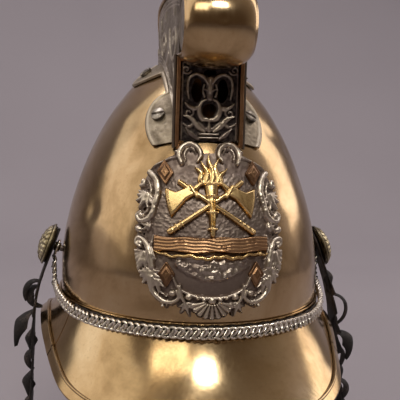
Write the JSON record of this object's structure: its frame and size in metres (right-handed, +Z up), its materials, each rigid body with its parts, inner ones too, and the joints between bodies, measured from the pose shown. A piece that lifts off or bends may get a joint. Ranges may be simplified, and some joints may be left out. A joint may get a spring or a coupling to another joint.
{
  "type": "firefighter helmet",
  "caption": "Brass fire helmet with a high hollow comb, an applied badge plate, a peak and neck guard, a curb chin chain and leather chin straps.",
  "frame": {"origin": "centre of the head opening, on the level of the lowest point of the brim (mount head_opening)", "axes": "+Z up, -Y the way the wearer looks (the peak), +X to the wearer's left, which is on the right when the helmet is seen from the front"},
  "size_m": [0.248, 0.3209, 0.384],
  "materials": {
    "brass": "polished sheet brass, browned with age, dented and scratched",
    "dark_brass": "dark patina in the hollows, rubbed bright on the high spots",
    "gilt_brass": "bright gilt relief, worn",
    "chain_metal": "worn white metal, dark between the links",
    "screw_brass": "dull cast brass",
    "steel": "dull",
    "strap_leather": "dry, cracked black leather with curled scallops",
    "liner_leather": "worn brown leather"
  },
  "bodies": {
    "shell": {"badge_boss_lower_left": "gilt_brass", "badge_boss_lower_right": "gilt_brass", "badge_boss_upper_left": "gilt_brass", "badge_boss_upper_right": "gilt_brass", "badge_emblem": "gilt_brass", "badge_log": "gilt_brass", "badge_nut_left": "brass", "badge_nut_right": "brass", "badge_plate": "dark_brass", "badge_stud_left": "brass", "badge_stud_right": "brass", "comb_grille": "dark_brass", "comb_nut_left_front": "brass", "comb_nut_left_middle": "brass", "comb_nut_left_rear": "brass", "comb_nut_right_front": "brass", "comb_nut_right_middle": "brass", "comb_nut_right_rear": "brass", "comb_roll": "brass", "comb_screw_left_front": "screw_brass", "comb_screw_left_middle": "screw_brass", "comb_screw_left_rear": "screw_brass", "comb_screw_right_front": "screw_brass", "comb_screw_right_middle": "screw_brass", "comb_screw_right_rear": "screw_brass", "comb_wing_left": "brass", "comb_wing_right": "brass", "liner_band": "liner_leather", "liner_crown": "liner_leather", "liner_ring": "brass", "liner_rivet_front_left": "brass", "liner_rivet_front_right": "brass", "liner_rivet_rear_left": "brass", "liner_rivet_rear_right": "brass", "neck_guard": "brass", "neck_guard_binding": "brass", "peak": "brass", "peak_binding": "brass", "rosette_left": "brass", "rosette_plate_left": "brass", "rosette_plate_right": "brass", "rosette_right": "brass", "side_bolt_left": "steel", "side_bolt_right": "steel", "side_collar_left": "brass", "side_collar_right": "brass", "side_nut_left": "brass", "side_nut_right": "brass", "skull": "brass"},
    "chain": {"chin_chain": "chain_metal", "chain_ring_left": "chain_metal", "chain_ring_right": "chain_metal", "chain_backing": "strap_leather"},
    "strap_left": {"chin_strap_left": "strap_leather", "strap_keeper": "strap_leather"},
    "strap_right": {"chin_strap_right": "strap_leather"},
    "buckle": {"buckle_frame": "screw_brass"},
    "tongue": {"buckle_tongue": "screw_brass"}
  },
  "joints": [
    {"name": "chain_swing", "type": "hinge", "parent": "shell", "child": "chain", "pos_m": [0, 0.004, 0.0882], "axis": [-1, 0, 0], "range_deg": [0, 35]},
    {"name": "strap_left_swing", "type": "hinge", "parent": "shell", "child": "strap_left", "pos_m": [-0.093, 0.004, 0.087], "axis": [-0.9397, 0, 0.342], "range_deg": [-30, 30]},
    {"name": "strap_right_swing", "type": "hinge", "parent": "shell", "child": "strap_right", "pos_m": [0.093, 0.004, 0.087], "axis": [0.9397, 0, 0.342], "range_deg": [-30, 30]},
    {"name": "buckle_swing", "type": "hinge", "parent": "strap_left", "child": "buckle", "pos_m": [-0.11435, 0.004, -0.08345], "axis": [0, 1, 0], "range_deg": [-45, 45]},
    {"name": "tongue_swing", "type": "hinge", "parent": "buckle", "child": "tongue", "pos_m": [-0.11435, 0.004, -0.08345], "axis": [0, 1, 0], "range_deg": [0, 75]}
  ]
}
